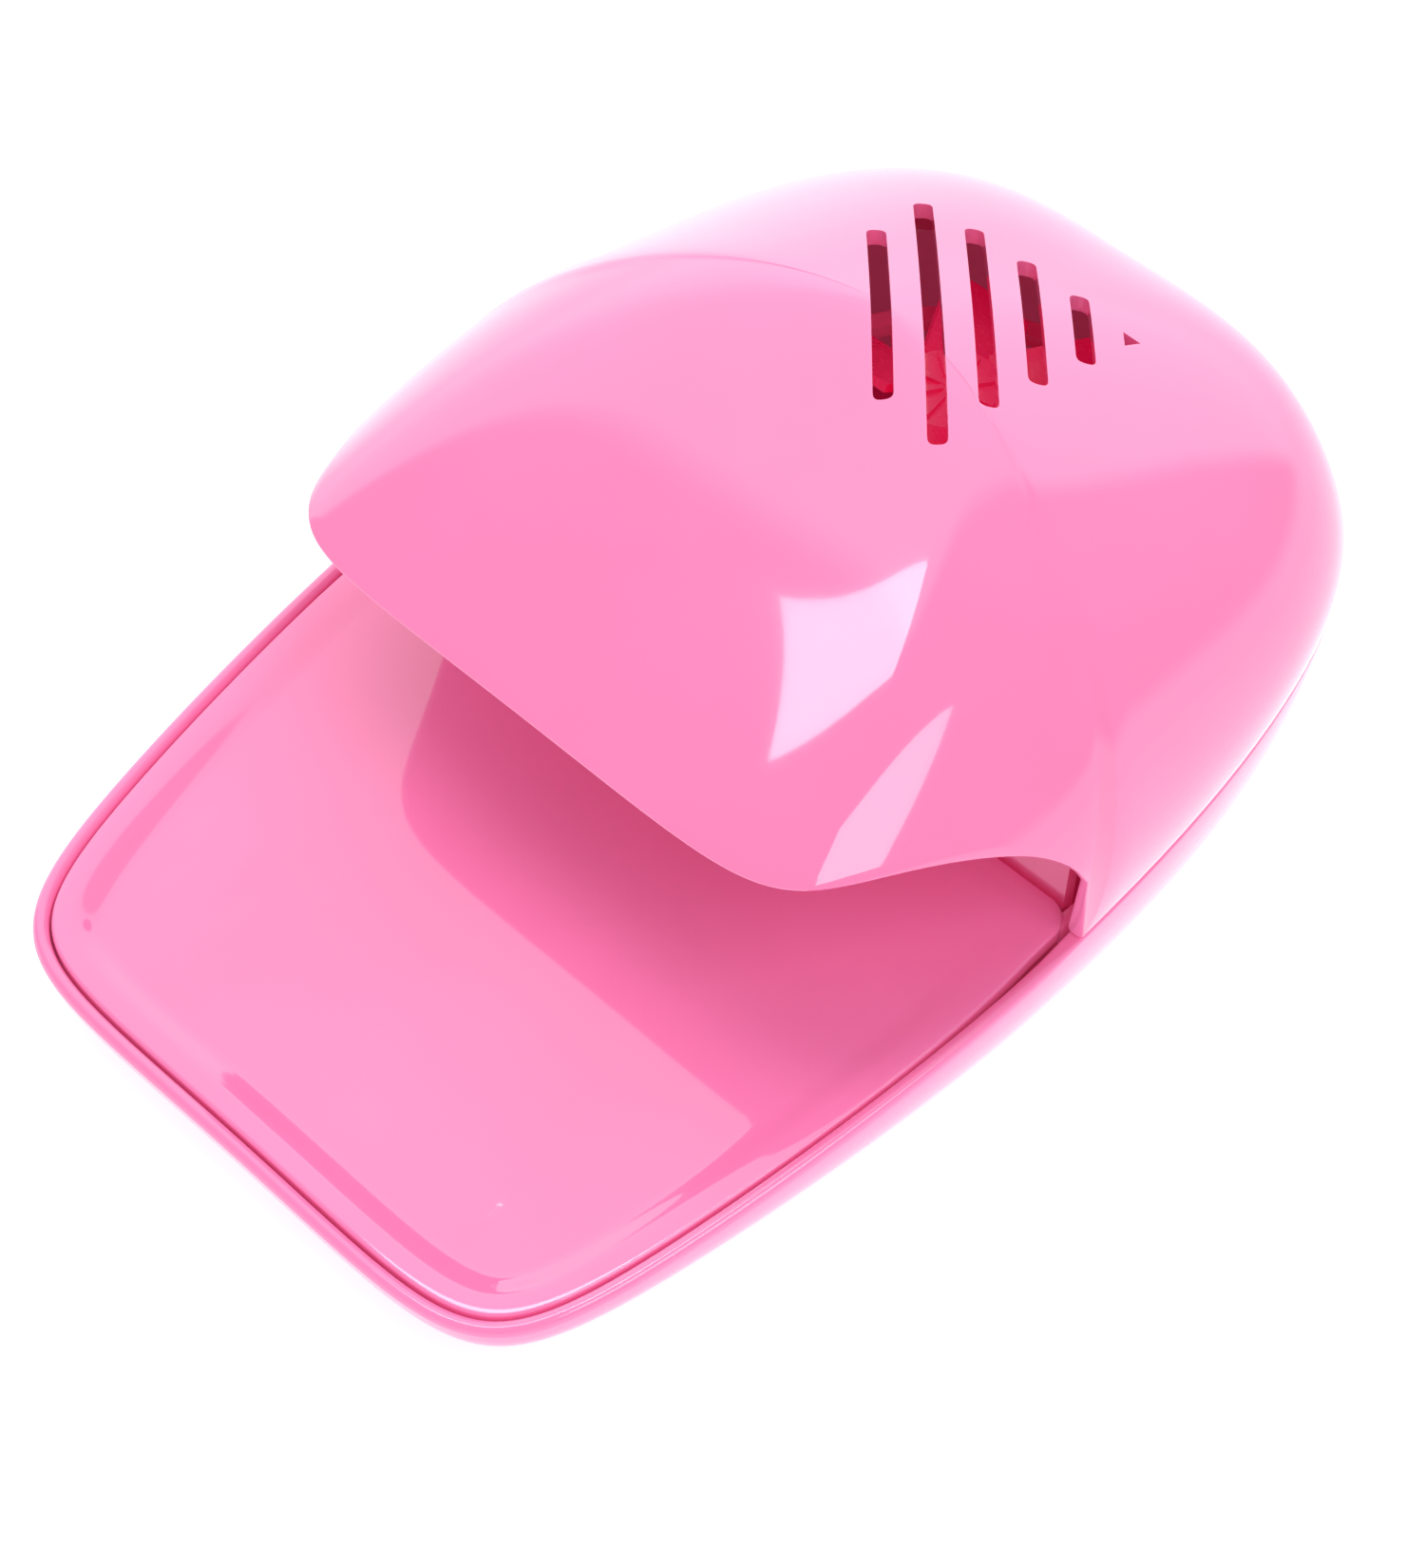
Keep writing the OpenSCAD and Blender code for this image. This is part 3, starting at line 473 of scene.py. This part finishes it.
# ---------------------------------------------------------------- tray
TRAVEL = 1.3
EDGE_R, DISH_RUN, CORNER_R = 0.35, 4, 3.2
CENTRE = (0.0, -28.0)
DISH_RINGS, SLOPE_STEPS = 30, 14
# Sink marks: x, y, half sizes and depth
SINKS = ((-22.5, -49, 1.1, 3.0, 0.2), (26, -56.2, 1.2, 3.6, 0.22))


def tray_z(y):
    return RIM_FRONT + RIM_SLOPE * (y - Y_FRONT) - TRAY_DROP


def tray_ring(d, dz, follow=False):
    out = []
    depth = TRAY_DROP + DISH + TRAY_T + TRAVEL
    for c in FRONT_COLUMNS:
        y = OUTLINE[c][1]
        extra = tuck(y, depth / (rim_z(y) - BASE_Z)) if follow else 0
        p = plan_pt(c, TRAY_INSET + d + extra + TRAY_DRAW * (max(y + DRAW_L, 0) / DRAW_L) ** 2)
        out.append((p[0], p[1], tray_z(p[1]) + dz))
    extra = tuck(0, depth / (rim_z(0) - BASE_Z)) if follow else 0
    r = max(CORNER_R - d, 0.4)
    for i in range(1, 13):
        a = math.radians(90 * i / 12)
        x = WIDEST[0] - TRAY_INSET - TRAY_DRAW - d - extra - r + r * math.cos(a)
        y = TRAY_BACK - d - r + r * math.sin(a)
        out.append((x, y, tray_z(y) + dz))
    x_end = out[-1][0]
    for i in range(1, 9):
        out.append((x_end * (1 - i / 8), TRAY_BACK - d, tray_z(TRAY_BACK - d) + dz))
    return mirrored(out)


def dent(x, y, cx, cy, rx, ry, depth):
    """A shallow round hollow."""
    k = ((x - cx) / rx) ** 2 + ((y - cy) / ry) ** 2
    return -depth * math.exp(-k)


def dish_z(y):
    """The dish is deepest at the front and runs out at the back."""
    return -DISH * (TRAY_BACK - y) / (TRAY_BACK - Y_FRONT)


def dished(ring, k):
    return [(x, y, z + k * dish_z(y)) for x, y, z in ring]


def build_tray(bm):
    rings = [tray_ring(0.9, -3.2, True), tray_ring(0.4, -3.0, True)]
    rings += [tray_ring(0, -1.6), tray_ring(0, -EDGE_R)]
    for i in range(1, 7):
        a = math.radians(15 * i)
        rings.append(tray_ring(EDGE_R - EDGE_R * math.cos(a), -EDGE_R + EDGE_R * math.sin(a)))
    for t in (0.25, 0.5, 0.75, 1):
        rings.append(tray_ring(EDGE_R + (BORDER - EDGE_R) * t, 0.04 * math.sin(math.pi * t)))
    for i in range(1, SLOPE_STEPS + 1):
        t = i / SLOPE_STEPS
        rings.append(dished(tray_ring(BORDER + DISH_RUN * t, 0), smooth(t)))
    edge = rings[-1]
    cx, cy = CENTRE
    for i in range(1, DISH_RINGS):
        k = 1 - i / DISH_RINGS
        ring = []
        for x, y, z in edge:
            px, py = cx + (x - cx) * k, cy + (y - cy) * k
            low = dent(px, py, *SINKS[0]) + dent(px, py, *SINKS[1])
            ring.append((px, py, tray_z(py) + dish_z(py) + low))
        rings.append(ring)
    skin(bm, rings)


bm = bmesh.new()
build_tray(bm)
lug_in, LUG_T, PIN_R = WIDEST[0] - WALL - 2.5, 1.5, 1.2
pivot_y, pivot_z = [j for j in frame["joints"] if j["name"] == "tray_press"][0]["pos_m"][1:]
pivot_y, pivot_z = pivot_y / MM, pivot_z / MM
for s in (-1, 1):
    x0, x1 = sorted((s * lug_in, s * (lug_in + LUG_T)))
    block(bm, (x0, TRAY_BACK - 2, pivot_z - 1.8), (x1, pivot_y + 1.8, pivot_z + 1.2), 0.3)
    ring_x = [lug_in + 1.2, lug_in + 1.21, WIDEST[0] - WALL + 0.4, WIDEST[0] - WALL + 0.6]
    turns = [2 * math.pi * i / 32 for i in range(32)]
    skin(bm, [[(s * x, pivot_y + r * math.cos(a), pivot_z + r * math.sin(a)) for a in turns]
              for x, r in zip(ring_x, (PIN_R - 0.2, PIN_R, PIN_R, PIN_R - 0.2))])
    turned(bm, s * SPRING_X, SPRING_Y, [(1.8, 8.1), (2.1, 8.4), (2.1, 10.4)])
turned(bm, 0, Y_FRONT + 32, [(1.3, 7.3), (1.5, 7.5), (1.5, 9.9)])
finish_mesh("tray_dish", bm, "tray", pink_tray, replaces=["press_tray"])

# ---------------------------------------------------------------- hood
RINGS, LIP_RINGS = 64, 6
TOP, CROWN_F = 0.99996, 0.004
EDGE_WALL, SEAM_LIFT, LIP_BULGE = 1.0, 0.3, 0.012


def hood_ring(f, wall=0.0, raise_cut=0.0):
    """Ring f, from 0 at the crown to 1 at the cut edge, at a share of the wall, thinner at the visor."""
    out = []
    for c in COLUMNS:
        e = cut_h(OUTLINE[c][1])
        h = min(e + (TOP - e) * (1 - f ** 2) + raise_cut * (1 if e == 0 else 0.35), TOP)
        near_edge = mix(EDGE_WALL, HOOD_WALL, smooth((h - e) / 0.25))
        thick = wall * mix(HOOD_WALL, near_edge, smooth(e / 0.1))
        p = hood_pt(plan_pt(c, thick), h, thick)
        out.append((p[0], p[1], p[2] + SEAM_LIFT * f))
    return mirrored(out)


def build_hood(bm):
    steps = [CROWN_F + (1 - CROWN_F) * i / RINGS for i in range(RINGS)]
    rings = [hood_ring(f) for f in steps]
    for i in range(LIP_RINGS + 1):
        a = math.pi * i / LIP_RINGS
        k = 0.5 - 0.5 * math.cos(a)
        rings.append(hood_ring(1, k, LIP_BULGE * (1 - math.sin(a))))
    rings += [hood_ring(f, 1) for f in reversed(steps)]
    skin(bm, rings)


bm = bmesh.new()
build_hood(bm)
hood = finish_mesh("hood_skin", bm, "base", pink_hood, replaces=["hood_shell"], angle=0)

VENT_SIDE, VENT_Y, SLOT_W, SLOT_PITCH = 31.0, Y_BACK - 38.1, 2.1, 5.25
SLOT_END, SLOT_SQUARE, END_STEPS = 0.25, 0.7, 12


def slot_end(at, side, way):
    """Half of a squarish round, from side to the opposite side by way of way."""
    out = []
    for k in range(END_STEPS + 1):
        c, t = math.cos(math.pi * k / END_STEPS), math.sin(math.pi * k / END_STEPS)
        c = math.copysign(abs(c) ** SLOT_SQUARE, c)
        out.append(at + side * (SLOT_W / 2 * c) + way * (SLOT_W / 2 * t ** SLOT_SQUARE))
    return out


def slot_tools(bm):
    """Rounded slots along the diagonal, each as long as the square field allows; the last is a triangle."""
    half = VENT_SIDE / 2
    for i in range(-1, 5):
        d = i * SLOT_PITCH * math.sqrt(2)
        low, high = max(-half, d - half), min(half, d + half)
        if i == -1:
            low, high = -13.5, 7.6
        ends = [Vector((low, d - low)), Vector((high, d - high))]
        way = (ends[1] - ends[0]).normalized()
        side = Vector((-way.y, way.x))
        r = SLOT_W / 2
        if (ends[1] - ends[0]).length < 4 * r:
            mid = (ends[0] + ends[1]) / 2
            loop = [mid + side * -0.9 - way * 1.15, mid + side * -0.9 + way * 1.15, mid + side * 0.85]
        else:
            inset = way * (r + SLOT_END)
            loop = slot_end(ends[1] - inset, side, way) + slot_end(ends[0] + inset, -side, -way)
        skin(bm, [[(p.x, p.y + VENT_Y, z) for p in loop] for z in (42, 75)])


cut(hood, cutter("slots", slot_tools))
hood.data.set_sharp_from_angle(angle=math.radians(32))

bm = bmesh.new()
BOSS_H, BOSS_HOLE, WEB_LOW, WEB_HIGH = 9.5, 1.3, 1.6, 5
for c in BOSS_COLUMNS:
    for s in (1, -1):
        px, py = plan_pt(c, BOSS_INSET)
        z = rim_z(py) - POST_DROP
        tube_post(bm, s * px, py, z, z + BOSS_H, POST_R, BOSS_HOLE)
        wx, wy = plan_pt(c, HOOD_WALL / 2)
        way = Vector((s * (wx - px), wy - py))
        n = way.length
        way.normalize()
        side = Vector((-way.y, way.x))
        a = Vector((s * px, py)) + way * 3.0
        b = Vector((s * px, py)) + way * n
        web = (a - side, b - side, b + side, a + side)
        skin(bm, [[(p.x, p.y, z + up_by) for p in web] for up_by in (WEB_LOW, WEB_HIGH)])
finish_mesh("hood_bosses", bm, "base", pink_inner)

# ---------------------------------------------------------------- floor and light
bm = bmesh.new()
bmesh.ops.create_grid(bm, x_segments=4, y_segments=4, size=3)
mesh = bpy.data.meshes.new("floor")
bm.to_mesh(mesh)
bm.free()
floor = bpy.data.objects.new("floor", mesh)
scene.collection.objects.link(floor)
floor_mat = plastic("floor", (0.5, 0.5, 0.5), rough=0.6, coat=0.0, shade=0.01)
add_glow(floor_mat, (1, 1, 1, 1), 0.75)
mesh.materials.append(floor_mat)


def panel(name, spot, way, long_axis, size, glow, distance=0.8):
    """A soft panel seen in the gloss at spot, in direction way; glow is its radiance."""
    way = Vector(way).normalized()
    x = Vector(long_axis)
    x = (x - way * x.dot(way)).normalized()
    data = bpy.data.lights.new(name, "AREA")
    data.shape, data.size, data.size_y = "RECTANGLE", size[0] * distance, size[1] * distance
    data.energy = glow * math.pi * data.size * data.size_y
    obj = bpy.data.objects.new(name, data)
    obj.location = Vector(spot) * MM + way * distance
    obj.rotation_mode = "QUATERNION"
    obj.rotation_quaternion = Matrix((x, way.cross(x), way)).transposed().to_quaternion()
    scene.collection.objects.link(obj)


panel("key_panel", (22, -3, 50), (-0.23, -0.10, 0.93), (0.45, 0.31, 0.13), (0.5, 0.21), 5.6)
panel("side_panel", (37, -14, 42), (0.55, -0.10, 0.75), (0.285, 0.45, -0.03), (0.5, 0.45), 3.6)

SKY_DARK, SKY_BRIGHT, HORIZON = 0.52, 1.6, 1.3
world = bpy.data.worlds.new("studio")
world.use_nodes = True
tree = world.node_tree
sky = tree.nodes["Background"]
coords = tree.nodes.new("ShaderNodeTexCoord")


def sky_math(kind, *values):
    node = tree.nodes.new("ShaderNodeMath")
    node.operation = kind
    for socket, value in zip(node.inputs, values):
        if isinstance(value, (int, float)):
            socket.default_value = value
        else:
            tree.links.new(value, socket)
    return node.outputs[0]


def side_of(azimuth, soft):
    """0 to 1 across the vertical plane whose bright side faces that azimuth."""
    dot = tree.nodes.new("ShaderNodeVectorMath")
    dot.operation = "DOT_PRODUCT"
    a = math.radians(azimuth)
    dot.inputs[1].default_value = (math.sin(a), -math.cos(a), 0)
    tree.links.new(coords.outputs["Generated"], dot.inputs[0])
    ramp = tree.nodes.new("ShaderNodeMapRange")
    ramp.interpolation_type = "SMOOTHSTEP"
    ramp.inputs["From Min"].default_value, ramp.inputs["From Max"].default_value = -soft, soft
    tree.links.new(dot.outputs["Value"], ramp.inputs["Value"])
    return ramp.outputs["Result"]


split = tree.nodes.new("ShaderNodeSeparateXYZ")
tree.links.new(coords.outputs["Generated"], split.inputs[0])
low_sky = tree.nodes.new("ShaderNodeMapRange")
low_sky.interpolation_type = "SMOOTHSTEP"
low_sky.inputs["From Min"].default_value, low_sky.inputs["From Max"].default_value = 0.22, 0.08
tree.links.new(split.outputs["Z"], low_sky.inputs["Value"])
bright = sky_math("MULTIPLY", side_of(-170, 0.03), side_of(-100, 0.05))
upper = sky_math("MULTIPLY_ADD", bright, SKY_BRIGHT - SKY_DARK, SKY_DARK)
low = sky_math("SUBTRACT", HORIZON, upper)
strength = sky_math("MULTIPLY_ADD", low, low_sky.outputs["Result"], upper)
tree.links.new(strength, sky.inputs["Strength"])
sky.inputs["Color"].default_value = (1, 1, 1, 1)
scene.world = world
